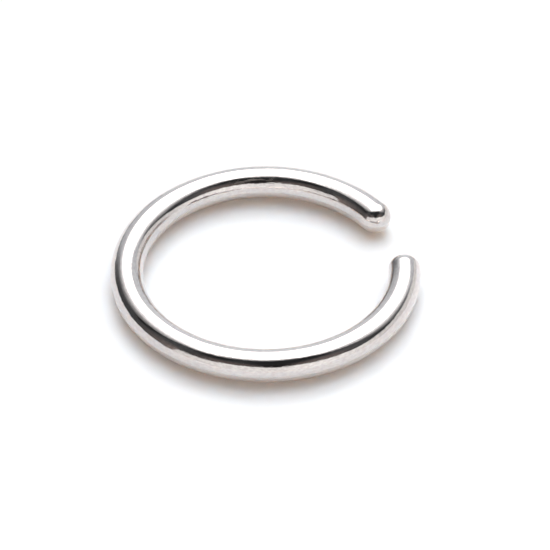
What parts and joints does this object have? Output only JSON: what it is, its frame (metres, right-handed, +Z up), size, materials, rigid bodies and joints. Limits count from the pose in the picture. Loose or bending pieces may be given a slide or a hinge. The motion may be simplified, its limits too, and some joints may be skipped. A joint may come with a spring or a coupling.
{
  "type": "ear cuff",
  "caption": "Open ring of round polished silver wire with domed ends, sprung onto the edge of the ear through its gap, with no piercing.",
  "frame": {"origin": "on the ring's axis, at the surface that the ring lies on; the bottom centre of its box is 0.1 mm from there, because the gap is on one side", "axes": "+Z up along the ring's axis, +X out through the middle of the gap"},
  "size_m": [0.012, 0.0122, 0.0013],
  "materials": {
    "silver": "polished"
  },
  "bodies": {
    "root": {"cuff_wire": "silver"}
  },
  "joints": []
}
